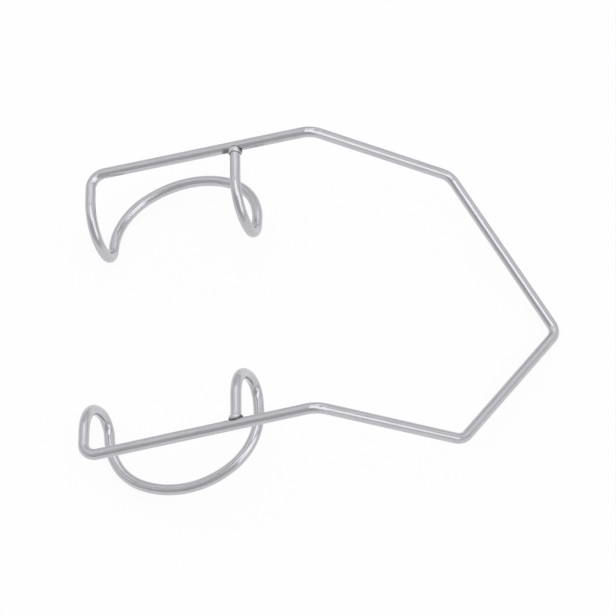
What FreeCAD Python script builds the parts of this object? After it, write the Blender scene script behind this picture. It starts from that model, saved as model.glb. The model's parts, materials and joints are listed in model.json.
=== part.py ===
import FreeCAD, Part

import os
from math import acos, atan2, cos, degrees, pi, radians, sin

import Sketcher
from FreeCAD import Placement, Rotation, Vector

# Self-retaining wire retractor for the eyelids.
# One round spring wire is bent to a sprung V and two mirrored arms. Each arm ends in an open
# blade: the wire turns in at the front corner, hooks down and back under the lid, sweeps out in
# a flat arc, hooks up again and is butt welded to its own bar.
# Row frame: millimetres, X runs from the blades to the sprung V, Y to the upper arm, Z up.
# The origin is under the middle of the instrument, which stands on both blades and the V.

# The driving dimensions: name, value and what it measures. Angles are in degrees, and every
# radius is the wire's centre line.
SIZES = [
    ("wire_diameter", 0.95, "drawn spring wire"),
    ("spring_bend_radius", 1.2, "the V at the rear"),
    ("spring_root_length", 4.0, "part of each leg that does most of the flexing"),
    ("leg_length", 11.4, "straight wire from the sprung root to the elbow"),
    ("leg_spread", 52.0, "between a leg and the centre line, in the plane of the legs"),
    ("elbow_radius", 1.6, "elbow between leg and side arm"),
    ("side_arm_length", 12.6, "straight wire from the elbow to the fold"),
    ("side_arm_splay", 1.7, "how far the side arms open towards the fold"),
    ("fold_radius", 2.0, "fold between side arm and lid bar"),
    ("fold_angle", 49.5, "between the plane of the legs and the plane of the lid bars"),
    ("lid_bar_length", 19.0, "straight wire from the fold to the front corner"),
    ("lid_bar_splay", 1.25, "how far the lid bars open towards the front"),
    ("corner_radius", 1.3, "corner where the bar turns in"),
    ("blade_width", 14.0, "from the front corner to the weld, centre to centre"),
    ("hook_lead", 1.3, "straight wire from the front corner to the hook"),
    ("hook_droop", 3.2, "how far the lead already points down"),
    ("hook_radius", 3.75, "wide turn down"),
    ("hook_tip_radius", 1.65, "tight turn back under the lid"),
    ("hook_tail", 0.3, "straight wire from the front hook to the lid arc"),
    ("rear_hook_reach", 0.4, "how much further in the rear hook reaches"),
    ("lid_arc_fall", 6.3, "how far the lid arc still falls as it runs out"),
    ("lid_arc_depth", 5.9, "how far the lid arc sweeps out from the hooks"),
    ("lid_arc_crown", 60.0, "turn of the flatter middle of the lid arc"),
    ("weld_radius", 0.66, "foot of the upset weld"),
    ("weld_height", 0.32, "weld above the bar's surface"),
    ("weld_lip", 0.06, "thickness of the weld where it runs out on the wire"),
    ("weld_wrap", 0.2, "how high over the bar's centre line the weld starts"),
]
SIDES = {"upper": 1, "lower": -1}

CENTRE = Vector(0, 0, 0)
REARWARD = Vector(1, 0, 0)
UP = Vector(0, 0, 1)
ACROSS = Vector(0, 1, 0)
SETTLE_STEPS = 20
CLOSURE = 0.001

doc = FreeCAD.newDocument("WireLidRetractor")


def new_sheet(name, cells):
    """A sheet of plain numbers, one named cell to a line, with a note beside it."""
    sheet = doc.addObject("Spreadsheet::Sheet", name)
    for line, (alias, value, note) in enumerate(cells, start=1):
        sheet.set(f"A{line}", note)
        sheet.set(f"B{line}", str(value))
        sheet.setAlias(f"B{line}", alias)
    doc.recompute()
    return sheet


sizes = new_sheet("Sizes", SIZES)


def size(alias):
    """A driving dimension, read back from the sheet."""
    return float(sizes.get(alias))


def angle(alias):
    """A driving angle in radians."""
    return radians(size(alias))


# Sizes that follow from the driving ones.

WIRE_RADIUS = size("wire_diameter") / 2


def fold_turn():
    """The wire's own turn at the fold, where both sides of it also splay."""
    arm, bar = angle("side_arm_splay"), angle("lid_bar_splay")
    return acos(cos(arm) * cos(bar) * cos(angle("fold_angle")) + sin(arm) * sin(bar))


def lid_arc_radii():
    """Side and crown radius of a three-centred arch with the blade's width and depth."""
    half_width, half_crown = size("blade_width") / 2, angle("lid_arc_crown") / 2
    step = (half_width - size("lid_arc_depth")) / (sin(half_crown) + cos(half_crown) - 1)
    side = half_width - step * sin(half_crown)
    return side, side + step


def rear_hook_sizes():
    """Lead, wide radius and tail with which the rear hook ends level with the front one."""
    droop, fall, reach = angle("hook_droop"), angle("lid_arc_fall"), size("rear_hook_reach")
    slope = (1 - sin(droop)) / cos(droop)
    run = reach * (cos(droop) - sin(droop) * slope) / (cos(fall) + sin(fall) * slope)
    shrink = (reach * sin(droop) + run * sin(fall)) / cos(droop)
    lead = size("corner_radius") + size("hook_lead") + reach
    return lead, size("hook_radius") - shrink, size("hook_tail") + run


side_radius, crown_radius = lid_arc_radii()
rear_lead, rear_radius, rear_tail = rear_hook_sizes()
DERIVED = [
    ("spring_bend_turn", 180 - 2 * size("leg_spread"), "turn of the V"),
    ("elbow_turn", size("leg_spread") - size("side_arm_splay"), "turn of the elbow"),
    ("fold_turn", degrees(fold_turn()), "turn of the fold"),
    ("corner_turn", 90.0, "turn of the front corner"),
    ("hook_turn", 90 - size("hook_droop"), "turn down into the hook"),
    ("hook_tip_turn", 90 - size("lid_arc_fall"), "turn back under the lid"),
    ("arc_side_turn", 90 - size("lid_arc_crown") / 2, "turn of each side of the lid arc"),
    ("arc_side_radius", side_radius, "sides of the lid arc"),
    ("arc_crown_radius", crown_radius, "crown of the lid arc"),
    ("rear_hook_lead", rear_lead, "straight wire from the bar's centre line to the rear hook"),
    ("rear_hook_radius", rear_radius, "wide turn of the rear hook"),
    ("rear_hook_tail", rear_tail, "straight wire from the lid arc to the rear hook"),
]
derived = new_sheet("Derived", DERIVED)
SHEETS = {alias: sheet for sheet, cells in ((sizes, SIZES), (derived, DERIVED)) for alias, _, _ in cells}


def cell(alias):
    """The expression that reads a named cell."""
    return f"{SHEETS[alias].Label}.{alias}"


def value(alias):
    """The number in a named cell."""
    return float(SHEETS[alias].get(alias))


# The wire's route, as a bending machine would make it: runs and turns in order.

class Station:
    """A point on the wire's centre line: where it is, the way ahead and the inside of its next turn."""

    def __init__(self, point, ahead, inside):
        self.point = point
        self.ahead = ahead
        self.inside = inside

    def after_run(self, length):
        return Station(self.point + self.ahead * length, self.ahead, self.inside)

    def after_turn(self, radius, turn):
        centre = self.point + self.inside * radius
        ahead = self.ahead * cos(turn) + self.inside * sin(turn)
        inside = self.inside * cos(turn) - self.ahead * sin(turn)
        return Station(centre - inside * radius, ahead, inside)

    def facing(self, target):
        """The same point, with the next turn towards the target direction."""
        inside = target - self.ahead * self.ahead.dot(target)
        return Station(self.point, self.ahead, inside.normalize())

    def placement(self):
        """Z runs along the wire and X to the inside of the turn."""
        turned = Rotation(self.inside, self.ahead.cross(self.inside), self.ahead, "ZXY")
        return Placement(self.point, turned)


# Each formed length is a list of steps: a run has one named cell, a turn has a radius and an angle.
FORMED_LENGTHS = {
    "spring_leg": [("leg_length",)],
    "elbow_bend": [("elbow_radius", "elbow_turn")],
    "side_arm": [("side_arm_length",)],
    "fold_bend": [("fold_radius", "fold_turn")],
    "lid_bar": [("lid_bar_length",)],
    "corner_bend": [("corner_radius", "corner_turn")],
    "front_hook": [("hook_lead",), ("hook_radius", "hook_turn"), ("hook_tip_radius", "hook_tip_turn"),
                   ("hook_tail",)],
    "lid_arc": [("arc_side_radius", "arc_side_turn"), ("arc_crown_radius", "lid_arc_crown"),
                ("arc_side_radius", "arc_side_turn")],
    "rear_hook": [("rear_hook_tail",), ("hook_tip_radius", "hook_tip_turn"),
                  ("rear_hook_radius", "hook_turn"), ("rear_hook_lead",)],
}
SPRING_BEND = [("spring_root_length",), ("spring_bend_radius", "spring_bend_turn"),
               ("spring_root_length",)]


def follow(station, steps):
    """The stations along a formed length, its own start and end included."""
    stations = [station]
    for step in steps:
        if len(step) == 1:
            station = station.after_run(value(step[0]))
        else:
            station = station.after_turn(value(step[0]), radians(value(step[1])))
        stations.append(station)
    return stations


def arm_route(side):
    """Start station of each formed length of one arm, in a frame whose XY plane holds the bars.

    The V's middle is at the frame's origin, and its legs slope down towards the rear.
    """
    slope = angle("fold_angle")
    legs_rearward = REARWARD * cos(slope) - UP * sin(slope)
    outward = ACROSS * side
    arm_ahead = outward * sin(angle("side_arm_splay")) - legs_rearward * cos(angle("side_arm_splay"))
    bar_ahead = outward * sin(angle("lid_bar_splay")) - REARWARD * cos(angle("lid_bar_splay"))
    bar_outward = outward * cos(angle("lid_bar_splay")) + REARWARD * sin(angle("lid_bar_splay"))
    lead_ahead = -bar_outward * cos(angle("hook_droop")) - UP * sin(angle("hook_droop"))
    towards = {"elbow_bend": arm_ahead, "fold_bend": bar_ahead, "corner_bend": lead_ahead,
               "front_hook": -UP, "lid_arc": -bar_ahead, "rear_hook": UP}

    middle = Station(CENTRE, outward, -legs_rearward)
    root = middle.after_turn(size("spring_bend_radius"), radians(value("spring_bend_turn")) / 2)
    station = root.after_run(size("spring_root_length"))
    starts = {}
    for name, steps in FORMED_LENGTHS.items():
        if name in towards:
            station = station.facing(towards[name])
        starts[name] = station
        station = follow(station, steps)[-1]

    corner = follow(starts["lid_bar"], FORMED_LENGTHS["lid_bar"])[-1].point
    joint = corner + bar_ahead * (size("corner_radius") - size("blade_width"))
    if station.point.distanceToPoint(joint) > CLOSURE:
        raise ValueError("the rear hook misses its bar")
    starts["weld_bead"] = Station(joint, lead_ahead, -bar_ahead)
    return starts


def lowest_point(direction, start, steps):
    """The point of a formed length's centre line that lies lowest along a direction."""
    stations = follow(start, steps)
    points = [station.point for station in stations]
    for station, step in zip(stations, steps):
        if len(step) == 2:
            reached = atan2(-station.ahead.dot(direction), station.inside.dot(direction))
            if 0 < reached < radians(value(step[1])):
                points.append(station.after_turn(value(step[0]), reached).point)
    return min(points, key=direction.dot)


def stand_up(routes, spring):
    """The placement that sets the wire on its blades and its V, over the row frame's origin."""
    lengths = [(route[name], FORMED_LENGTHS[name]) for route in routes.values() for name in FORMED_LENGTHS]
    pitch, up = 0.0, UP
    for _ in range(SETTLE_STEPS):
        blade = min((lowest_point(up, *length) for length in lengths), key=up.dot)
        heel = lowest_point(up, spring, SPRING_BEND)
        pitch = atan2(blade.z - heel.z, heel.x - blade.x)
        up = REARWARD * sin(pitch) + UP * cos(pitch)
    rearward = REARWARD * cos(pitch) - UP * sin(pitch)
    ends = [(spring, SPRING_BEND)] + lengths
    front = min(lowest_point(rearward, *length).dot(rearward) for length in ends)
    rear = max(lowest_point(-rearward, *length).dot(rearward) for length in ends)
    shift = Vector(-(front + rear) / 2, 0, WIRE_RADIUS - blade.dot(up))
    return Placement(shift, Rotation(ACROSS, -degrees(pitch)))


def spring_start(route):
    """Where the sprung V's own length starts: at the root of the upper leg."""
    leg = route["spring_leg"]
    return Station(leg.point, -leg.ahead, leg.inside)


# Solids.

def plane_of(body, role):
    """One of a body's own origin planes."""
    return next(feature for feature in body.Origin.OriginFeatures if feature.Role == role)


def new_sketch(body, name, role):
    """An empty sketch on one of the body's own origin planes."""
    sketch = body.newObject("Sketcher::SketchObject", name)
    sketch.AttachmentSupport = [(plane_of(body, role), "")]
    sketch.MapMode = "FlatFace"
    return sketch


def constrain(sketch, kind, *where, bound=None):
    """Adds a constraint, and binds its value to a named cell or an expression of cells."""
    index = sketch.addConstraint(Sketcher.Constraint(kind, *where))
    if bound:
        sketch.setExpression(f"Constraints[{index}]", bound)


def wire_section(body, axis_alias=None):
    """The wire's round section, on the axis or at a bend's radius from it."""
    distance = value(axis_alias) if axis_alias else 0
    sketch = new_sketch(body, body.Name + "Section", "XY_Plane")
    sketch.addGeometry(Part.Circle(Vector(-distance, 0, 0), UP, WIRE_RADIUS))
    if axis_alias:
        constrain(sketch, "PointOnObject", 0, 3, -1)
        constrain(sketch, "DistanceX", 0, 3, -1, 1, distance, bound=cell(axis_alias))
    else:
        constrain(sketch, "Coincident", 0, 3, -1, 1)
    constrain(sketch, "Diameter", 0, 2 * WIRE_RADIUS, bound=cell("wire_diameter"))
    return sketch


def wire_path(body, steps):
    """The centre line of several steps, fully constrained, on the body's XZ plane."""
    sketch = new_sketch(body, body.Name + "Path", "XZ_Plane")
    point, heading = Vector(0, 0, 0), pi / 2
    for index, step in enumerate(steps):
        length = value(step[0])
        if len(step) == 1:
            end = point + Vector(cos(heading), sin(heading), 0) * length
            sketch.addGeometry(Part.LineSegment(point, end))
            first, last = 1, 2
        else:
            turn = radians(value(step[1]))
            centre = point + Vector(sin(heading), -cos(heading), 0) * length
            circle = Part.Circle(centre, UP, length)
            sketch.addGeometry(Part.ArcOfCircle(circle, heading + pi / 2 - turn, heading + pi / 2))
            heading -= turn
            end = centre + Vector(-sin(heading), cos(heading), 0) * length
            first, last = 2, 1
        if index:
            constrain(sketch, "Tangent", index - 1, joined, index, first)
        else:
            constrain(sketch, "Coincident", index, first, -1, 1)
            if len(step) == 1:
                constrain(sketch, "Vertical", index)
            else:
                constrain(sketch, "PointOnObject", index, 3, -1)
        if len(step) == 1:
            constrain(sketch, "Distance", index, length, bound=cell(step[0]))
        else:
            constrain(sketch, "Radius", index, length, bound=cell(step[0]))
            constrain(sketch, "Angle", index, turn, bound=cell(step[1]))
        point, joined = end, last
    return sketch


def new_body(label):
    """A body with the sub-part's own label."""
    body = doc.addObject("PartDesign::Body", label.title().replace("_", ""))
    body.Label = label
    return body


def straight_wire(label, steps):
    body = new_body(label)
    pad = body.newObject("PartDesign::Pad", body.Name + "Wire")
    pad.Profile = wire_section(body)
    pad.setExpression("Length", cell(steps[0][0]))
    return body


def bent_wire(label, steps):
    """One bend, revolved about the bend's own centre."""
    radius_alias, turn_alias = steps[0]
    body = new_body(label)
    section = wire_section(body, radius_alias)
    bend = body.newObject("PartDesign::Revolution", body.Name + "Wire")
    bend.Profile = section
    bend.ReferenceAxis = (section, ["V_Axis"])
    bend.setExpression("Angle", cell(turn_alias))
    return body


def swept_wire(label, steps):
    """Several runs and bends in one plane, swept in one go."""
    body = new_body(label)
    section = wire_section(body)
    path = wire_path(body, steps)
    sweep = body.newObject("PartDesign::AdditivePipe", body.Name + "Wire")
    sweep.Profile = section
    sweep.Spine = (path, [])
    return body


def formed_wire(label, steps, start, stand):
    """The solid of one formed length, in its place."""
    placement = start.placement()
    if len(steps) > 1:
        body = swept_wire(label, steps)
    elif len(steps[0]) == 1:
        body = straight_wire(label, steps)
    else:
        body = bent_wire(label, steps)
        placement.Base = start.point + start.inside * value(steps[0][0])
    body.Placement = stand * placement
    return body


def bar_cutter(label, joint, stand):
    """The bar's own outside at the weld, which shapes what is welded to it."""
    cutter = doc.addObject("Part::Cylinder", label.title().replace("_", "") + "Seat")
    cutter.setExpression("Radius", "Sizes.wire_diameter / 2")
    cutter.setExpression("Height", "4 * Sizes.weld_radius")
    along = Station(joint.point - joint.inside * 2 * size("weld_radius"), joint.inside, joint.ahead)
    cutter.Placement = stand * along.placement()
    return cutter


def seated(label, body, cutter):
    """A body cut to seat on the bar."""
    body.Label = label + "_uncut"
    seat = doc.addObject("Part::Cut", label.title().replace("_", "") + "Seated")
    seat.Base = body
    seat.Tool = cutter
    seat.Label = label
    return seat


def weld_bead(label, joint, stand):
    """The upset weld: a collar round the hook's end that flares out onto the bar."""
    body = new_body(label)
    profile = new_sketch(body, body.Name + "Profile", "XZ_Plane")
    bore, foot, wrap = WIRE_RADIUS, size("weld_radius"), size("weld_wrap")
    top = WIRE_RADIUS + size("weld_height")
    tip = bore + size("weld_lip")
    flare = size("weld_height")
    rise = top - (flare ** 2 - (tip + flare - foot) ** 2) ** 0.5
    corners = [Vector(bore, top, 0), Vector(bore, wrap, 0), Vector(foot, wrap, 0), Vector(foot, rise, 0),
               Vector(tip, top, 0)]
    for here, there in zip(corners[:3], corners[1:4]):
        profile.addGeometry(Part.LineSegment(here, there))
    circle = Part.Circle(Vector(tip + flare, top, 0), UP, flare)
    sweep_start = atan2(rise - top, foot - tip - flare)
    profile.addGeometry(Part.ArcOfCircle(circle, pi, sweep_start % (2 * pi)))
    profile.addGeometry(Part.LineSegment(corners[4], corners[0]))
    for index in range(2):
        constrain(profile, "Coincident", index, 2, index + 1, 1)
    constrain(profile, "Coincident", 2, 2, 3, 2)
    constrain(profile, "Coincident", 3, 1, 4, 1)
    constrain(profile, "Coincident", 4, 2, 0, 1)
    constrain(profile, "Vertical", 0)
    constrain(profile, "Horizontal", 1)
    constrain(profile, "Vertical", 2)
    constrain(profile, "Horizontal", 4)
    constrain(profile, "PointOnObject", 3, 3, 4)
    constrain(profile, "DistanceX", -1, 1, 0, 2, bore, bound="Sizes.wire_diameter / 2")
    constrain(profile, "DistanceX", -1, 1, 2, 1, foot, bound=cell("weld_radius"))
    constrain(profile, "DistanceY", -1, 1, 1, 1, wrap, bound=cell("weld_wrap"))
    constrain(profile, "DistanceY", -1, 1, 4, 1, top, bound="Sizes.wire_diameter / 2 + Sizes.weld_height")
    constrain(profile, "DistanceX", 0, 1, 4, 1, size("weld_lip"), bound=cell("weld_lip"))
    constrain(profile, "Radius", 3, flare, bound=cell("weld_height"))
    turn = body.newObject("PartDesign::Revolution", body.Name + "Collar")
    turn.Profile = profile
    turn.ReferenceAxis = (profile, ["V_Axis"])
    turn.Angle = 360
    body.Placement = stand * joint.placement()
    return body


# Assembly.

routes = {side_name: arm_route(side) for side_name, side in SIDES.items()}
spring = spring_start(routes["upper"])
stand = stand_up(routes, spring)

sub_parts = [formed_wire("spring_bend", SPRING_BEND, spring, stand)]
for side_name, route in routes.items():
    cutter = bar_cutter(side_name + "_bar", route["weld_bead"], stand)
    for name, steps in FORMED_LENGTHS.items():
        sub_part = formed_wire(f"{side_name}_{name}", steps, route[name], stand)
        if name == "rear_hook":
            sub_part = seated(f"{side_name}_{name}", sub_part, cutter)
        sub_parts.append(sub_part)
    bead = weld_bead(f"{side_name}_weld_bead", route["weld_bead"], stand)
    sub_parts.append(seated(f"{side_name}_weld_bead", bead, cutter))
doc.recompute()

for item in doc.Objects:
    if "Invalid" in item.State or "Error" in item.State:
        raise ValueError(f"{item.Label} failed")
for sub_part in sub_parts:
    if sub_part.Shape.isNull() or not sub_part.Shape.isValid() or not sub_part.Shape.Solids:
        raise ValueError(f"{sub_part.Label} has no valid solid")

os.makedirs("parts", exist_ok=True)
for sub_part in sub_parts:
    sub_part.Shape.exportStep(f"parts/{sub_part.Label}.step")

whole = Part.makeCompound([sub_part.Shape for sub_part in sub_parts])
box = whole.BoundBox
print(f"{len(sub_parts)} sub-parts, {box.XLength:.2f} x {box.YLength:.2f} x {box.ZLength:.2f} mm")
print(f"lowest {box.ZMin:.3f}, middle of X {(box.XMin + box.XMax) / 2:.3f}")
for side_name, route in routes.items():
    pivot = stand.multVec(route["spring_leg"].point)
    print(f"{side_name} arm flexes about {pivot.x:.3f} {pivot.y:.3f} {pivot.z:.3f}")
leg_normal = stand.Rotation.multVec(REARWARD * sin(angle("fold_angle")) + UP * cos(angle("fold_angle")))
print(f"normal to the legs {leg_normal.x:.5f} {leg_normal.y:.5f} {leg_normal.z:.5f}")
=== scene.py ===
"""Bends, welds and finishes a self-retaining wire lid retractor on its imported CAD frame.

One spring wire runs from the sprung V along two mirrored arms to the open lid blades. Each formed
length is a piece of its own, swept along the same route as the CAD, so the wire reads as one.
"""

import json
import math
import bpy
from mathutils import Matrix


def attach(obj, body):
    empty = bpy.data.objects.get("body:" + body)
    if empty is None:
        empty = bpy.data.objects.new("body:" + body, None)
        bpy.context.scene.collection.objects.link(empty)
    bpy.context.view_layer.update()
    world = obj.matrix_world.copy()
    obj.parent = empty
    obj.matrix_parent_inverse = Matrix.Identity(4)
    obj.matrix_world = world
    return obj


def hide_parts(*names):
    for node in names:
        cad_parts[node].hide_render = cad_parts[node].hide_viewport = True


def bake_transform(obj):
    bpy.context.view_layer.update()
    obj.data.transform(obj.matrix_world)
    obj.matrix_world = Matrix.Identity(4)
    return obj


bl_info = {
    "name": "Wire Lid Retractor",
    "version": (1, 0, 0),
    "blender": (4, 5, 0),
    "location": "3D View > Sidebar > Retractor",
    "description": "Bends, welds and finishes a self-retaining wire lid retractor on its CAD frame",
    "category": "Add Mesh",
}

import bmesh
import bpy
from bpy.props import FloatProperty, FloatVectorProperty, IntProperty, PointerProperty
from bpy.types import Operator, Panel, PropertyGroup
from mathutils import Matrix, Vector

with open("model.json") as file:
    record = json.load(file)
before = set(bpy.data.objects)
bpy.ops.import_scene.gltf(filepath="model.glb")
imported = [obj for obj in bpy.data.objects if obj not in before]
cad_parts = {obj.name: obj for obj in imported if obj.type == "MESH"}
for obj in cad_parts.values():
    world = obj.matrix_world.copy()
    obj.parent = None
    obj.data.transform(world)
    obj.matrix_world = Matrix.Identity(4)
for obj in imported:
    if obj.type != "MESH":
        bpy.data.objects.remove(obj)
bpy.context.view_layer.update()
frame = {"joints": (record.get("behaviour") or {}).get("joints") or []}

MM = 0.001
SIDES = {"upper": 1, "lower": -1}
JOINTS = {joint["name"]: joint for joint in frame["joints"]}
LEG_NORMAL = Vector(JOINTS["upper_arm_flex"]["axis"]).normalized()
ACROSS = Vector((0, 1, 0))
UP = Vector((0, 0, 1))

# A route's turns are split into Bezier spans no wider than this, each with this many rings.
WIDEST_SPAN = math.radians(30)
RINGS_PER_SPAN = 12

# The weld's mesh: points around it, steps down it, its skin over the wires, how far its rim
# overhangs its foot, and how much of a quarter turn it reaches round the bar.
WELD_COLUMNS = 72
WELD_STEPS = 14
WELD_SKIN = 0.012 * MM
WELD_OVERHANG = 0.04 * MM
WELD_WRAP = 0.80

# The weld's ripple: its height, and for each wave how many go round the collar, where they start
# and their share of the height.
WELD_RIPPLE = 0.012 * MM
RIPPLE_WAVES = ((3, 1.0, 1.0), (7, 0.0, 0.6))

# The collar's mesh closes out of sight inside the wires, at these shares of its length along the
# bar and of its other sizes.
HIDDEN_LENGTH = 0.9
HIDDEN_SHARE = 0.8

# How far short of the bar's centre line the hook's wire stops, hidden inside its collar.
HOOK_SEAT = 0.18 * MM

# The wire's pattern: how fast each noise changes along the wire, per millimetre, and how fine it is
# round the wire. The lines and the nicks show between two values of their noise.
LINES_ALONG = 0.10
LINES_SCALE = 9.0
LINES_SHOW = (0.35, 0.75)
HAZE_ALONG = 0.45
HAZE_SCALE = 1.3
NICKS_ALONG = 1.6
NICKS_SCALE = 4.0
NICKS_SHOW = (0.70, 0.76)
NOISE_MIDDLE = 0.5

# How much the pattern and the oxide roughen the wire, how much of its shine the oxide takes, and
# the strength and depth of its relief, in which the lines stand up by less than the nicks go in.
LINES_ROUGHEN = 0.16
HAZE_ROUGHENS = 0.12
OXIDE_ROUGHENS = 0.20
OXIDE_DULLS = 0.80
LINES_RAISED = 0.6
WIRE_RELIEF = 0.10
RELIEF_DEPTH = 0.02 * MM

# The oxide that welding leaves in front of the collar: how far in front, its core and edge, and the
# step in the haze that mottles it. A step's last two numbers are its values before and after.
OXIDE_REACH = 0.80 * MM
OXIDE_CORE = 0.24 * MM
OXIDE_EDGE = 0.56 * MM
OXIDE_MOTTLE = (0.3, 0.7, 0.75, 1.0)

# The weld's grain and polish, what roughens it, and how much of its shine its darkened parts lose,
# both the painted shade where it meets the wires and the oxide.
GRAIN_SCALE = 2600.0
WELD_ROUGHNESS = 0.28
GRAIN_ROUGHENS = 0.20
SHADE_AND_OXIDE_ROUGHENS = 0.15
SHADE_AND_OXIDE_DULLS = 0.60
WELD_RELIEF = 0.25

# The steps at which painted shade darkens the collar where it meets the wires: near its top, which
# is 0, near its foot, which is 1, and below its top at the two ends that point along the bar, which
# are 1. The grain mottles the painted shade.
PAINTED_SHADE_TOP = (0.04, 0.20, 0.8, 0.0)
PAINTED_SHADE_FOOT = (0.55, 0.85)
PAINTED_SHADE_ENDS = (0.60, 0.92)
PAINTED_SHADE_BELOW_TOP = (0.15, 0.40)
PAINTED_SHADE_MOTTLE = (0.2, 0.6, 0.6, 0.95)

# The camera's place comes from a fit of the wire's centre line to the photograph. Its clipping
# leaves room for this many times its distance, nearer and further.
CAMERA_SENSOR = 36.0
CAMERA_AIM = (-1.271 * MM, 2.482 * MM, 1.510 * MM)
CLIP_FACTOR = 100

# How much of the backdrop's white the paper shows. The rest keeps the shadow.
BACKDROP_SHARE = 0.92

# How squarely the studio's wall faces the dim corner where it starts to dim and where it is dimmest.
DIM_EDGE = (0.50, 0.95)

# Lamps: name, azimuth and elevation in degrees, distance, width and height in metres, watts.
LAMPS = [
    ("overhead", 0, 82, 0.45, 0.30, 0.30, 0.283),
    ("key", 50, 40, 0.45, 0.38, 0.38, 0.376),
    ("rear", 176, 58, 0.45, 0.26, 0.28, 0.114),
    ("fill", 132, 38, 0.45, 0.50, 0.32, 0.126),
    ("back", 240, 48, 0.45, 0.55, 0.34, 0.123),
]


# Sizes and colours

def length(name, description, default):
    """A size that a user may change, in metres."""
    return FloatProperty(name=name, description=description, default=default, min=0, precision=6,
                         unit="LENGTH")


def angle(name, description, degrees):
    """An angle that a user may change, given here in degrees."""
    return FloatProperty(name=name, description=description, default=math.radians(degrees),
                         unit="ROTATION")


def colour(name, description, default):
    """A colour that a user may change."""
    return FloatVectorProperty(name=name, description=description, default=default, size=4, min=0,
                               max=1, subtype="COLOR")


class RetractorWire(PropertyGroup):
    """The wire and the way it is bent. Every radius is the wire's centre line."""

    diameter: length("Wire diameter", "Drawn spring wire", 0.95 * MM)
    sides: IntProperty(name="Sides", description="Facets around the wire", default=48, min=8, max=96)
    bend_radius: length("V radius", "The V at the rear", 1.2 * MM)
    root_length: length("Root", "Part of each leg that flexes with the V", 4.0 * MM)
    leg_length: length("Leg", "Straight wire from the root to the elbow", 11.4 * MM)
    leg_spread: angle("Leg spread", "Between a leg and the centre line, in the plane of the legs",
                      52.0)
    elbow_radius: length("Elbow radius", "Elbow between leg and side arm", 1.6 * MM)
    arm_length: length("Side arm", "Straight wire from the elbow to the fold", 12.6 * MM)
    arm_splay: angle("Side arm splay", "How far the side arms open towards the fold", 1.7)
    fold_radius: length("Fold radius", "Fold between side arm and lid bar", 2.0 * MM)
    fold_angle: angle("Fold", "Between the plane of the legs and the plane of the lid bars", 49.5)
    bar_length: length("Lid bar", "Straight wire from the fold to the front corner", 19.0 * MM)
    bar_splay: angle("Lid bar splay", "How far the lid bars open towards the front", 1.25)
    corner_radius: length("Corner radius", "Corner where the bar turns in", 1.3 * MM)
    blade_width: length("Blade width", "From the front corner to the weld", 14.0 * MM)
    hook_lead: length("Hook lead", "Straight wire from the front corner to the hook", 1.3 * MM)
    hook_droop: angle("Hook droop", "How far the lead already points down", 3.2)
    hook_radius: length("Hook radius", "Wide turn down", 3.75 * MM)
    tip_radius: length("Hook tip radius", "Tight turn back under the lid", 1.65 * MM)
    hook_tail: length("Hook tail", "Straight wire from the front hook to the lid arc", 0.3 * MM)
    rear_reach: length("Rear hook reach", "How much further in the rear hook reaches", 0.4 * MM)
    arc_fall: angle("Lid arc fall", "How far the lid arc still falls as it runs out", 6.3)
    arc_depth: length("Lid arc depth", "How far the lid arc sweeps out from the hooks", 5.9 * MM)
    arc_crown: angle("Lid arc crown", "Turn of the flatter middle of the lid arc", 60.0)
    weld_radius: length("Weld foot", "How far the weld's collar spreads along the bar", 0.66 * MM)
    weld_height: length("Weld height", "How high the collar stands over the bar", 0.32 * MM)


class RetractorFinish(PropertyGroup):
    """The steel's finish."""

    steel: colour("Steel", "Polished stainless spring steel", (0.565, 0.565, 0.59, 1))
    worn_steel: colour("Drawn lines", "The lines that drawing leaves along the wire",
                       (0.44, 0.44, 0.465, 1))
    # Oxide beside the welds, and also the colour of the painted shade where the weld's collar meets
    # the wires.
    oxide_and_shade_steel: colour("Scorched steel", "Oxide beside the welds", (0.09, 0.085, 0.09, 1))
    weld_steel: colour("Weld", "Dressed weld metal", (0.58, 0.58, 0.60, 1))
    roughness: FloatProperty(name="Roughness", description="Polish of the wire", default=0.18, min=0,
                             max=1)


class RetractorStage(PropertyGroup):
    """The floor, the lamps and the camera."""

    floor_size: length("Floor", "Side of the square floor, whose far edge stays out of view", 6.0)
    floor_colour: colour("Floor colour", "Paper under the instrument", (0.85, 0.85, 0.85, 1))
    backdrop: colour("Backdrop", "White that the paper shows as", (1.0, 1.0, 1.0, 1))
    studio_colour: colour("Studio", "Pale walls that the steel reflects", (0.745, 0.745, 0.755, 1))
    dim_colour: colour("Dim corner", "Corner of the studio with no lamp near it",
                       (0.60, 0.60, 0.615, 1))
    dim_azimuth: angle("Dim corner azimuth", "Where the dim corner is", -28.0)
    dim_elevation: angle("Dim corner elevation", "How high the dim corner is", 15.0)
    camera_azimuth: angle("Azimuth", "Camera's turn round the instrument", 1.318)
    camera_elevation: angle("Elevation", "Camera's height above the horizon", 58.975)
    camera_roll: angle("Roll", "Camera's turn about its own axis", -2.6)
    camera_distance: length("Distance", "From the camera to the point it looks at", 254.54 * MM)
    camera_lens: FloatProperty(name="Lens", description="Focal length on a 36 mm sensor",
                               default=166.5, min=1, unit="CAMERA")
    aim: FloatVectorProperty(name="Aim", description="Point that the camera looks at", size=3,
                             default=CAMERA_AIM, unit="LENGTH", precision=6)


# The wire's route, as a bending machine would make it: runs and turns in order

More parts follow.
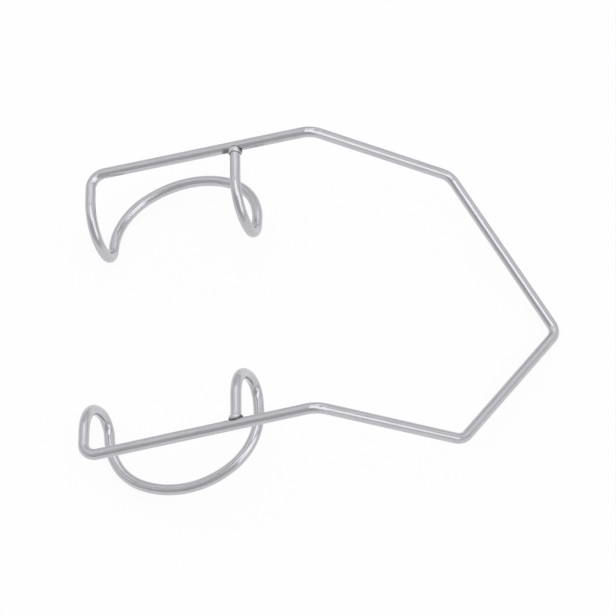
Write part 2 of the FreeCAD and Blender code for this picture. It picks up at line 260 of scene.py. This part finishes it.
class Station:
    """A point on the centre line: where it is, the way ahead and the inside of its next turn."""

    def __init__(self, point, ahead, inside):
        self.point = point
        self.ahead = ahead.normalized()
        self.inside = (inside - self.ahead * self.ahead.dot(inside)).normalized()

    def after_run(self, distance):
        return Station(self.point + self.ahead * distance, self.ahead, self.inside)

    def after_turn(self, radius, turn):
        centre = self.point + self.inside * radius
        ahead = self.ahead * math.cos(turn) + self.inside * math.sin(turn)
        inside = self.inside * math.cos(turn) - self.ahead * math.sin(turn)
        return Station(centre - inside * radius, ahead, inside)

    def facing(self, target):
        return Station(self.point, self.ahead, target)

    def after(self, step):
        return self.after_run(*step) if len(step) == 1 else self.after_turn(*step)


def step_length(step):
    """The wire that one run, or one turn of a radius and an angle, takes up."""
    return step[0] if len(step) == 1 else step[0] * step[1]


def lid_arc_steps(wire):
    """A three-centred arch with the blade's width and depth."""
    half_width, half_crown = wire.blade_width / 2, wire.arc_crown / 2
    step = (half_width - wire.arc_depth) / (math.sin(half_crown) + math.cos(half_crown) - 1)
    side_radius = half_width - step * math.sin(half_crown)
    side = (side_radius, math.pi / 2 - half_crown)
    return [side, (side_radius + step, wire.arc_crown), side]


def rear_hook_steps(wire):
    """The rear hook reaches further in than the front one and ends level with it."""
    droop, fall, reach = wire.hook_droop, wire.arc_fall, wire.rear_reach
    slope = (1 - math.sin(droop)) / math.cos(droop)
    run = reach * (math.cos(droop) - math.sin(droop) * slope)
    run /= math.cos(fall) + math.sin(fall) * slope
    shrink = (reach * math.sin(droop) + run * math.sin(fall)) / math.cos(droop)
    return [
        (wire.hook_tail + run,),
        (wire.tip_radius, math.pi / 2 - fall),
        (wire.hook_radius - shrink, math.pi / 2 - droop),
        (wire.corner_radius + wire.hook_lead + reach - HOOK_SEAT,),
    ]


def formed_lengths(wire):
    """The steps of each formed length of an arm, from the sprung root to the weld."""
    arm, bar = wire.arm_splay, wire.bar_splay
    fold_cosine = math.cos(arm) * math.cos(bar) * math.cos(wire.fold_angle)
    fold_turn = math.acos(fold_cosine + math.sin(arm) * math.sin(bar))
    return {
        "spring_leg": [(wire.leg_length,)],
        "elbow_bend": [(wire.elbow_radius, wire.leg_spread - wire.arm_splay)],
        "side_arm": [(wire.arm_length,)],
        "fold_bend": [(wire.fold_radius, fold_turn)],
        "lid_bar": [(wire.bar_length,)],
        "corner_bend": [(wire.corner_radius, math.pi / 2)],
        "front_hook": [
            (wire.hook_lead,),
            (wire.hook_radius, math.pi / 2 - wire.hook_droop),
            (wire.tip_radius, math.pi / 2 - wire.arc_fall),
            (wire.hook_tail,),
        ],
        "lid_arc": lid_arc_steps(wire),
        "rear_hook": rear_hook_steps(wire),
    }


class ArmRoute:
    """Where each formed length of one arm starts, and how far along the wire that is."""

    def __init__(self, wire, side_name):
        side = SIDES[side_name]
        self.side = side
        self.steps = formed_lengths(wire)
        rearward = ACROSS.cross(LEG_NORMAL)
        outward = ACROSS * side
        leg_ahead = outward * math.sin(wire.leg_spread) - rearward * math.cos(wire.leg_spread)
        arm_ahead = outward * math.sin(wire.arm_splay) - rearward * math.cos(wire.arm_splay)
        level = rearward * math.cos(wire.fold_angle) + LEG_NORMAL * math.sin(wire.fold_angle)
        up = LEG_NORMAL * math.cos(wire.fold_angle) - rearward * math.sin(wire.fold_angle)
        bar_ahead = outward * math.sin(wire.bar_splay) - level * math.cos(wire.bar_splay)
        bar_outward = outward * math.cos(wire.bar_splay) + level * math.sin(wire.bar_splay)
        lead_ahead = -bar_outward * math.cos(wire.hook_droop) - up * math.sin(wire.hook_droop)
        towards = {"elbow_bend": arm_ahead, "fold_bend": bar_ahead, "corner_bend": lead_ahead,
                   "front_hook": -up, "lid_arc": -bar_ahead, "rear_hook": up}

        pivot = Vector(JOINTS[side_name + "_arm_flex"]["pos_m"])
        self.root = Station(pivot, leg_ahead, -rearward)
        self.starts, self.runs = {}, {}
        station = self.root
        run = wire.root_length + wire.bend_radius * (math.pi / 2 - wire.leg_spread)
        for name, steps in self.steps.items():
            if name in towards:
                station = station.facing(towards[name])
            self.starts[name], self.runs[name] = station, run
            for step in steps:
                station = station.after(step)
                run += step_length(step)
        corner = self.starts["lid_bar"].after_run(wire.bar_length + wire.corner_radius)
        self.weld = Station(corner.point - bar_ahead * wire.blade_width, lead_ahead, -bar_ahead)


# Node trees

class Socket:
    """An output socket in a Python expression: its operators add Math nodes to its tree."""

    def __init__(self, tree, socket):
        self.tree = tree
        self.socket = socket

    def maths(self, operation, *operands):
        return self.tree.add("ShaderNodeMath", {"operation": operation}, dict(enumerate(operands)))

    def __add__(self, other):
        return self.maths("ADD", self, other)

    def __sub__(self, other):
        return self.maths("SUBTRACT", self, other)

    def __rsub__(self, other):
        return self.maths("SUBTRACT", other, self)

    def __mul__(self, other):
        return self.maths("MULTIPLY", self, other)

    def __truediv__(self, other):
        return self.maths("DIVIDE", self, other)

    def __rtruediv__(self, other):
        return self.maths("DIVIDE", other, self)

    def floor(self):
        return self.maths("FLOOR", self)

    __radd__ = __add__
    __rmul__ = __mul__


class NodeTree:
    """A node tree that is written as Python expressions."""

    def __init__(self, tree):
        self.tree = tree

    def add(self, kind, settings=None, sockets=None, output=0):
        """Adds a node. Its settings come first, then its sockets' values or links."""
        node = self.tree.nodes.new(kind)
        for setting, value in (settings or {}).items():
            setattr(node, setting, value)
        for key, value in (sockets or {}).items():
            self.fill(self.socket(node.inputs, key), value)
        return Socket(self, self.socket(node.outputs, output)) if node.outputs else node

    def fill(self, socket, value):
        if isinstance(value, Socket):
            self.tree.links.new(value.socket, socket)
        else:
            socket.default_value = value

    @staticmethod
    def socket(sockets, key):
        """A socket by its number or its name, in the form that the node's settings switch on."""
        if isinstance(key, int):
            return sockets[key]
        return next(socket for socket in sockets if socket.name == key and socket.enabled)

    def ramp(self, value, low, high, to_low=0.0, to_high=1.0):
        """A smooth step from one value to another."""
        values = {"Value": value, "From Min": low, "From Max": high, "To Min": to_low,
                  "To Max": to_high}
        return self.add("ShaderNodeMapRange", {"interpolation_type": "SMOOTHSTEP"}, values, "Result")

    def mix(self, share, low, high):
        """A colour between two others."""
        values = {"Factor": share, "A": low, "B": high}
        return self.add("ShaderNodeMix", {"data_type": "RGBA"}, values, "Result")


class Material(NodeTree):
    """A material under construction."""

    def __init__(self, name):
        self.material = bpy.data.materials.new(name)
        self.material.use_nodes = True
        super().__init__(self.material.node_tree)
        self.tree.nodes.clear()

    def noise(self, vector, along, scale, detail=3.0, roughness=0.55):
        """Noise that follows the wire: a direction out of the wire and a distance along it."""
        values = {"Vector": vector, "W": along, "Scale": scale, "Detail": detail,
                  "Roughness": roughness}
        return self.add("ShaderNodeTexNoise", {"noise_dimensions": "4D"}, values, "Fac")

    def near(self, points, core, edge):
        """One at any of the points, falling to nothing away from them."""
        place = self.add("ShaderNodeTexCoord", output="Object")
        total = 0
        for point in points:
            reach = self.add("ShaderNodeVectorMath", {"operation": "DISTANCE"},
                             {0: place, 1: point}, "Value")
            total = total + self.ramp(reach / MM, core / MM, edge / MM, 1.0, 0.0)
        return total

    def finish(self, shader):
        self.add("ShaderNodeOutputMaterial", sockets={"Surface": shader})
        return self.material


def material(name, build, *arguments):
    """A material by its name, built the first time that it is asked for."""
    return bpy.data.materials.get(name) or build(name, *arguments)


def spring_steel(name, finish, patches):
    """Polished spring wire: fine lines along it, haze, a few nicks and oxide in front of each weld."""
    steel = Material(name)
    facing = steel.add("ShaderNodeAttribute", {"attribute_name": "wire_radial"}, output="Vector")
    along = steel.add("ShaderNodeAttribute", {"attribute_name": "wire_run"}, output="Fac") / MM
    lines = steel.noise(facing, along * LINES_ALONG, LINES_SCALE, detail=4.0, roughness=0.7)
    haze = steel.noise(facing, along * HAZE_ALONG, HAZE_SCALE)
    specks = steel.noise(facing, along * NICKS_ALONG, NICKS_SCALE, detail=2.0)
    nicks = steel.ramp(specks, *NICKS_SHOW)
    scorch = steel.near(patches, OXIDE_CORE, OXIDE_EDGE) * steel.ramp(haze, *OXIDE_MOTTLE)

    drawn = steel.mix(steel.ramp(lines, *LINES_SHOW), finish.steel, finish.worn_steel)
    base = steel.mix(scorch, drawn, finish.oxide_and_shade_steel)
    roughness = (finish.roughness + (lines - NOISE_MIDDLE) * LINES_ROUGHEN
                 + (haze - NOISE_MIDDLE) * HAZE_ROUGHENS + scorch * OXIDE_ROUGHENS)
    height = lines * LINES_RAISED + nicks * -1.0
    bump = steel.add("ShaderNodeBump", sockets={
        "Strength": WIRE_RELIEF, "Distance": RELIEF_DEPTH, "Height": height})
    return steel.finish(steel.add("ShaderNodeBsdfPrincipled", sockets={
        "Base Color": base, "Metallic": 1 - scorch * OXIDE_DULLS, "Roughness": roughness,
        "Normal": bump}))


def weld_steel(name, finish, patches):
    """Dressed weld metal, with painted shade darkening its top edge, its foot and its ends, and
    darker beside the oxide.
    """
    weld = Material(name)
    climb = weld.add("ShaderNodeAttribute", {"attribute_name": "weld_climb"}, output="Fac")
    end = weld.add("ShaderNodeAttribute", {"attribute_name": "weld_end"}, output="Fac")
    place = weld.add("ShaderNodeTexCoord", output="Object")
    values = {"Vector": place, "Scale": GRAIN_SCALE, "Detail": 4.0}
    grain = weld.add("ShaderNodeTexNoise", {"noise_dimensions": "3D"}, values, "Fac")
    # Painted shade: the collar is darkened at its top edge and its foot, where it meets the wires, and
    # at its two ends along the bar, below its top.
    crease_shade = weld.ramp(climb, *PAINTED_SHADE_TOP) + weld.ramp(climb, *PAINTED_SHADE_FOOT)
    ends = weld.ramp(end, *PAINTED_SHADE_ENDS) * weld.ramp(climb, *PAINTED_SHADE_BELOW_TOP)
    oxide = weld.near(patches, OXIDE_CORE, OXIDE_EDGE)
    # The painted shade and the real oxide together darken the weld's colour and take its shine.
    shade_and_oxide = (crease_shade + ends) * weld.ramp(grain, *PAINTED_SHADE_MOTTLE) + oxide
    base = weld.mix(shade_and_oxide, finish.weld_steel, finish.oxide_and_shade_steel)
    roughness = WELD_ROUGHNESS + (grain - NOISE_MIDDLE) * GRAIN_ROUGHENS + shade_and_oxide * SHADE_AND_OXIDE_ROUGHENS
    bump = weld.add("ShaderNodeBump", sockets={
        "Strength": WELD_RELIEF, "Distance": RELIEF_DEPTH, "Height": grain})
    return weld.finish(weld.add("ShaderNodeBsdfPrincipled", sockets={
        "Base Color": base, "Metallic": 1 - shade_and_oxide * SHADE_AND_OXIDE_DULLS, "Roughness": roughness,
        "Normal": bump}))


def paper(name, stage):
    """Pale paper. The camera and the steel see it as the backdrop's white, with faint shadows."""
    floor = Material(name)
    rays = [floor.add("ShaderNodeLightPath", output=f"Is {ray} Ray") for ray in
            ("Camera", "Glossy", "Transmission")]
    lit = floor.add("ShaderNodeBsdfDiffuse", sockets={"Color": stage.floor_colour})
    bright = floor.add("ShaderNodeEmission", sockets={"Color": stage.backdrop, "Strength": 1.0})
    share = (rays[0] + rays[1] + rays[2]) * BACKDROP_SHARE
    return floor.finish(floor.add("ShaderNodeMixShader", sockets={0: share, 1: lit, 2: bright}))


class GeometryTree(NodeTree):
    """A Geometry Nodes tree under construction, with named inputs."""

    def __init__(self, name, inputs):
        super().__init__(bpy.data.node_groups.new(name, "GeometryNodeTree"))
        self.tree.is_modifier = True
        for label, kind in inputs.items():
            self.tree.interface.new_socket(name=label, in_out="INPUT", socket_type=kind)
        self.tree.interface.new_socket(name="Mesh", in_out="OUTPUT", socket_type="NodeSocketGeometry")
        entry = self.tree.nodes.new("NodeGroupInput")
        self.inputs = {label: Socket(self, entry.outputs[label]) for label in inputs}

    def note(self, geometry, name, kind, value):
        """Writes an attribute on every point."""
        settings = {"data_type": kind, "domain": "POINT"}
        values = {"Geometry": geometry, "Name": name, "Value": value}
        return self.add("GeometryNodeStoreNamedAttribute", settings, values)

    def finish(self, geometry, surface):
        plain = self.add("GeometryNodeRealizeInstances", sockets={"Geometry": geometry})
        made = self.add("GeometryNodeSetMaterial", sockets={"Geometry": plain, "Material": surface})
        self.add("NodeGroupOutput", sockets={"Mesh": made})
        return self.tree


def wire_tree():
    """Sweeps a round section along a route.

    On each point it notes the distance along the wire and the direction out of it, which the
    steel's pattern follows.
    """
    tree = GeometryTree("Formed wire", {
        "Route": "NodeSocketObject",
        "Diameter": "NodeSocketFloat",
        "Sides": "NodeSocketInt",
        "Run Start": "NodeSocketFloat",
        "Run Sign": "NodeSocketFloat",
        "Steel": "NodeSocketMaterial",
    })
    sides = tree.inputs["Sides"]
    route = tree.add("GeometryNodeObjectInfo", sockets={"Object": tree.inputs["Route"]},
                     output="Geometry")
    along = tree.add("GeometryNodeSplineParameter", output="Length")
    run = tree.inputs["Run Start"] + tree.inputs["Run Sign"] * along
    route = tree.note(route, "wire_run", "FLOAT", run)
    section = tree.add("GeometryNodeCurvePrimitiveCircle", sockets={
        "Resolution": sides, "Radius": tree.inputs["Diameter"] / 2}, output="Curve")
    swept = tree.add("GeometryNodeCurveToMesh", sockets={
        "Curve": route, "Profile Curve": section, "Fill Caps": True})

    position = tree.add("GeometryNodeInputPosition")
    ring = (tree.add("GeometryNodeInputIndex") / sides).floor()
    total = tree.add("GeometryNodeAccumulateField", {"data_type": "FLOAT_VECTOR", "domain": "POINT"},
                     {"Value": position, "Group ID": ring}, "Total")
    centre = tree.add("ShaderNodeVectorMath", {"operation": "SCALE"}, {0: total, "Scale": 1 / sides})
    outward = tree.add("ShaderNodeVectorMath", {"operation": "SUBTRACT"}, {0: position, 1: centre})
    radial = tree.add("ShaderNodeVectorMath", {"operation": "NORMALIZE"}, {0: outward})
    return tree.finish(tree.note(swept, "wire_radial", "FLOAT_VECTOR", radial), tree.inputs["Steel"])


# Pieces

def add_object(context, name, data):
    thing = bpy.data.objects.new(name, data)
    context.scene.collection.objects.link(thing)
    return thing


def spans(steps):
    """A route's steps, with each turn split into spans that a Bezier curve follows closely."""
    for step in steps:
        if len(step) == 1:
            yield step, step[0] / 3
        else:
            radius, turn = step
            parts = math.ceil(turn / WIDEST_SPAN)
            handle = 4 / 3 * math.tan(turn / parts / 4) * radius
            for _ in range(parts):
                yield (radius, turn / parts), handle


def route_object(context, name, start, steps):
    """The centre line of a formed length, as a Bezier curve."""
    stations, handles = [start], []
    for step, handle in spans(steps):
        stations.append(stations[-1].after(step))
        handles.append(handle)
    curve = bpy.data.curves.new(name, "CURVE")
    curve.dimensions = "3D"
    curve.resolution_u = RINGS_PER_SPAN
    spline = curve.splines.new("BEZIER")
    spline.bezier_points.add(len(stations) - 1)
    before, after = [handles[0]] + handles, handles + [handles[-1]]
    for point, station, back, on in zip(spline.bezier_points, stations, before, after):
        point.handle_left_type = point.handle_right_type = "FREE"
        point.co = station.point
        point.handle_left = station.point - station.ahead * back
        point.handle_right = station.point + station.ahead * on
    return add_object(context, name, curve)


def turn_normals_outward(mesh):
    """Gives the wire's side the exact directions out of it, so that neighbours meet with no seam."""
    outward = [entry.vector for entry in mesh.attributes["wire_radial"].data]
    normals = []
    for face in mesh.polygons:
        is_side = len(face.vertices) == 4
        face.use_smooth = is_side
        normals += [outward[vertex] if is_side else face.normal for vertex in face.vertices]
    mesh.normals_split_custom_set(normals)


def sweep(name, start, steps, run_start, run_sign, context):
    """One formed length of wire, as a plain mesh."""
    wire = context.scene.retractor_wire
    route = route_object(context, name + "_route", start, steps)
    host = add_object(context, name + "_host", bpy.data.meshes.new(name + "_host"))
    modifier = host.modifiers.new("Formed wire", "NODES")
    modifier.node_group = bpy.data.node_groups.get("Formed wire") or wire_tree()
    values = {"Route": route, "Diameter": wire.diameter, "Sides": wire.sides,
              "Run Start": float(run_start), "Run Sign": float(run_sign),
              "Steel": retractor_steel(context, "spring_steel", spring_steel)}
    for item in modifier.node_group.interface.items_tree:
        if item.in_out == "INPUT":
            modifier[item.identifier] = values[item.name]
    graph = context.evaluated_depsgraph_get()
    mesh = bpy.data.meshes.new_from_object(host.evaluated_get(graph), preserve_all_data_layers=True,
                                           depsgraph=graph)
    for helper in (host, route):
        bpy.data.objects.remove(helper)
    if len(mesh.polygons) < wire.sides:
        raise RuntimeError(f"{name} has no wire")
    mesh.name = name
    turn_normals_outward(mesh)
    return add_object(context, name, mesh)


def arm_routes(context):
    return {side_name: ArmRoute(context.scene.retractor_wire, side_name) for side_name in SIDES}


def oxide_patches(context):
    """Where welding left oxide on the bars, just in front of each collar."""
    joints = [route.weld.after_run(context.scene.retractor_wire.diameter / 2)
              for route in arm_routes(context).values()]
    return [joint.point - joint.inside * OXIDE_REACH for joint in joints]


def retractor_steel(context, name, build):
    """The steel of the wire or of the welds."""
    return material(name, build, context.scene.retractor_finish, oxide_patches(context))


def form_wire(context, names):
    """The named formed lengths of both arms, each in the place of its CAD node."""
    for side_name, route in arm_routes(context).items():
        for name in names:
            node = f"{side_name}_{name}"
            run_start = route.side * route.runs[name]
            piece = sweep(node + "_wire", route.starts[name], route.steps[name], run_start,
                          route.side, context)
            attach(piece, side_name + "_arm")
            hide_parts(node)
    return {"FINISHED"}


def loop_faces(shape, rows):
    """Closes rows of points into a ring of smooth quads, round both ways."""
    grid = [[shape.verts.new(point) for point in row] for row in rows]
    for row, next_row in zip(grid, grid[1:] + grid[:1]):
        for here, after in zip(range(len(row)), [*range(1, len(row)), 0]):
            shape.faces.new((row[here], row[after], next_row[after], next_row[here])).smooth = True


def weld_bead(name, joint, context):
    """An upset collar round the hook's end. Its rim overhangs its foot, which wraps round the bar.

    In the joint's own frame X runs along the bar and Z out of it along the hook.
    """
    wire = context.scene.retractor_wire
    wire_radius = wire.diameter / 2
    skin_radius = wire_radius + WELD_SKIN
    foot_radius = wire.weld_radius - WELD_OVERHANG
    top_height = wire_radius + wire.weld_height
    rows, climbs, ends = [], [], []
    for index in range(WELD_COLUMNS):
        turn = 2 * math.pi * index / WELD_COLUMNS
        ripple = WELD_RIPPLE * sum(share * math.sin(count * turn + start)
                                   for count, start, share in RIPPLE_WAVES)
        out = Vector((math.cos(turn), math.sin(turn), 0))
        round_bar = math.pi / 2 * out.y * WELD_WRAP
        foot = Vector((foot_radius * out.x, skin_radius * math.sin(round_bar),
                       skin_radius * math.cos(round_bar)))
        top = out * skin_radius + UP * (top_height + ripple)
        rim = out * (wire.weld_radius + ripple)
        shoulder = rim + UP * top_height
        lip = rim + UP * (foot.z + WELD_OVERHANG)
        row = []
        for step in range(WELD_STEPS + 1):
            t = step / WELD_STEPS
            upper = top * (1 - t) ** 3 + shoulder * 3 * t * (1 - t) ** 2
            row.append(upper + lip * 3 * t ** 2 * (1 - t) + foot * t ** 3)
            climbs.append(t)
        row.append(Vector((foot.x * HIDDEN_LENGTH, foot.y * HIDDEN_SHARE, foot.z * HIDDEN_SHARE)))
        row.append(out * wire_radius * HIDDEN_SHARE + UP * (top_height - WELD_SKIN))
        climbs += [1.0, 0.0]
        ends += [abs(out.x)] * len(row)
        rows.append(row)
    shape = bmesh.new()
    loop_faces(shape, rows)
    bmesh.ops.recalc_face_normals(shape, faces=shape.faces)
    place = Matrix((joint.inside, joint.ahead.cross(joint.inside), joint.ahead)).transposed().to_4x4()
    place.translation = joint.point
    shape.transform(place)
    mesh = bpy.data.meshes.new(name)
    shape.to_mesh(mesh)
    shape.free()
    mesh.attributes.new("weld_climb", "FLOAT", "POINT").data.foreach_set("value", climbs)
    mesh.attributes.new("weld_end", "FLOAT", "POINT").data.foreach_set("value", ends)
    mesh.materials.append(retractor_steel(context, "weld_steel", weld_steel))
    return add_object(context, name, mesh)


# Stage

def lay_floor(context, stage):
    """A square of pale paper, level with what the instrument stands on."""
    half = stage.floor_size / 2
    corners = [(-half, -half, 0), (half, -half, 0), (half, half, 0), (-half, half, 0)]
    mesh = bpy.data.meshes.new("floor")
    mesh.from_pydata(corners, [], [(0, 1, 2, 3)])
    mesh.materials.append(material("paper", paper, stage))
    add_object(context, "floor", mesh)


def light_world(context, stage):
    """A pale studio with one dim corner, which gives round steel its darker side."""
    context.scene.world = bpy.data.worlds.new("studio")
    context.scene.world.use_nodes = True
    studio = NodeTree(context.scene.world.node_tree)
    studio.tree.nodes.clear()
    looking = studio.add("ShaderNodeTexCoord", output="Generated")
    corner = direction(stage.dim_azimuth, stage.dim_elevation)
    facing = studio.add("ShaderNodeVectorMath", {"operation": "DOT_PRODUCT"},
                        {0: looking, 1: corner}, "Value")
    shade = studio.mix(studio.ramp(facing, *DIM_EDGE), stage.studio_colour, stage.dim_colour)
    glow = studio.add("ShaderNodeBackground", sockets={"Color": shade, "Strength": 1.0})
    studio.add("ShaderNodeOutputWorld", sockets={"Surface": glow})


def direction(azimuth, elevation):
    """From the instrument towards an azimuth and elevation, with azimuth 0 towards -Y."""
    level = math.cos(elevation)
    return Vector((math.sin(azimuth) * level, -math.cos(azimuth) * level, math.sin(elevation)))


def hang_lamp(context, name, azimuth, elevation, distance, width, height, power):
    """A soft lamp that faces the instrument."""
    lamp = bpy.data.lights.new(name, "AREA")
    lamp.shape = "RECTANGLE"
    lamp.size, lamp.size_y, lamp.energy = width, height, power
    towards = direction(math.radians(azimuth), math.radians(elevation))
    hung = add_object(context, name, lamp)
    hung.location = towards * distance
    hung.rotation_euler = towards.to_track_quat("Z", "Y").to_euler()


def set_camera(context, stage):
    """The camera at the photograph's angle, with its roll."""
    data = bpy.data.cameras.new("camera")
    data.sensor_width = CAMERA_SENSOR
    data.lens = stage.camera_lens
    data.clip_start = stage.camera_distance / CLIP_FACTOR
    data.clip_end = stage.camera_distance * CLIP_FACTOR
    back = direction(stage.camera_azimuth, stage.camera_elevation)
    level = Vector((math.cos(stage.camera_azimuth), math.sin(stage.camera_azimuth), 0))
    right = Matrix.Rotation(stage.camera_roll, 3, back) @ level
    place = Matrix((right, back.cross(right), back)).transposed().to_4x4()
    place.translation = Vector(stage.aim) + back * stage.camera_distance
    camera = add_object(context, "camera", data)
    camera.matrix_world = place
    context.scene.camera = camera
    context.scene.view_settings.view_transform = "Standard"


# Operators

class RETRACTOR_OT_spring(Operator):
    """Bend the sprung V and its two legs"""

    bl_idname = "retractor.spring"
    bl_label = "Spring"

    def execute(self, context):
        wire = context.scene.retractor_wire
        routes = arm_routes(context)
        root = routes["upper"].root.after_run(-wire.root_length)
        bend = Station(root.point, -root.ahead, root.inside)
        half_bend = wire.bend_radius * (math.pi / 2 - wire.leg_spread)
        steps = [(wire.bend_radius, math.pi - 2 * wire.leg_spread)]
        piece = sweep("spring_bend_wire", bend, steps, half_bend, -1, context)
        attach(piece, "spring")
        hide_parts("spring_bend")
        for side_name, route in routes.items():
            node = side_name + "_spring_leg"
            start = route.root.after_run(-wire.root_length)
            steps = [(wire.root_length,), (wire.root_length,), (wire.leg_length - wire.root_length,)]
            leg = sweep(node + "_wire", start, steps, route.side * half_bend, route.side, context)
            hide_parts(node)
            route.root.after_run(wire.root_length).point
            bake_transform(leg)
        return {"FINISHED"}


class RETRACTOR_OT_side_arms(Operator):
    """Bend the elbows, the side arms and the folds to the lid bars"""

    bl_idname = "retractor.side_arms"
    bl_label = "Side arms"

    def execute(self, context):
        return form_wire(context, ["elbow_bend", "side_arm", "fold_bend"])


class RETRACTOR_OT_lid_bars(Operator):
    """Draw the straight lid bars and turn their front corners in"""

    bl_idname = "retractor.lid_bars"
    bl_label = "Lid bars"

    def execute(self, context):
        return form_wire(context, ["lid_bar", "corner_bend"])


class RETRACTOR_OT_blades(Operator):
    """Bend the open blades: front hook, lid arc and rear hook"""

    bl_idname = "retractor.blades"
    bl_label = "Lid blades"

    def execute(self, context):
        return form_wire(context, ["front_hook", "lid_arc", "rear_hook"])


class RETRACTOR_OT_welds(Operator):
    """Flare the upset welds where the rear hooks meet their bars"""

    bl_idname = "retractor.welds"
    bl_label = "Welds"

    def execute(self, context):
        for side_name, route in arm_routes(context).items():
            node = side_name + "_weld_bead"
            piece = weld_bead(node + "_fillet", route.weld, context)
            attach(piece, side_name + "_arm")
            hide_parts(node)
        return {"FINISHED"}


class RETRACTOR_OT_stage(Operator):
    """Lay the pale floor, hang the soft lamps and set the camera"""

    bl_idname = "retractor.stage"
    bl_label = "Stage"

    def execute(self, context):
        stage = context.scene.retractor_stage
        lay_floor(context, stage)
        light_world(context, stage)
        for lamp in LAMPS:
            hang_lamp(context, *lamp)
        set_camera(context, stage)
        return {"FINISHED"}


class RETRACTOR_PT_build(Panel):
    """The steps that build the retractor, in order"""

    bl_idname = "RETRACTOR_PT_build"
    bl_label = "Wire Lid Retractor"
    bl_space_type = "VIEW_3D"
    bl_region_type = "UI"
    bl_category = "Retractor"

    def draw(self, context):
        for operator in OPERATORS:
            self.layout.operator(operator.bl_idname)


SETTINGS = {"retractor_wire": RetractorWire, "retractor_finish": RetractorFinish,
            "retractor_stage": RetractorStage}
OPERATORS = (RETRACTOR_OT_spring, RETRACTOR_OT_side_arms, RETRACTOR_OT_lid_bars, RETRACTOR_OT_blades,
             RETRACTOR_OT_welds, RETRACTOR_OT_stage)
CLASSES = (*SETTINGS.values(), *OPERATORS, RETRACTOR_PT_build)


def register():
    for entry in CLASSES:
        bpy.utils.register_class(entry)
    for name, group in SETTINGS.items():
        setattr(bpy.types.Scene, name, PointerProperty(type=group))


def unregister():
    for name in SETTINGS:
        delattr(bpy.types.Scene, name)
    for entry in reversed(CLASSES):
        bpy.utils.unregister_class(entry)


def main():
    register()
    bpy.ops.retractor.spring()
    bpy.ops.retractor.side_arms()
    bpy.ops.retractor.lid_bars()
    bpy.ops.retractor.blades()
    bpy.ops.retractor.welds()
    bpy.ops.retractor.stage()


if __name__ == "__main__":
    main()
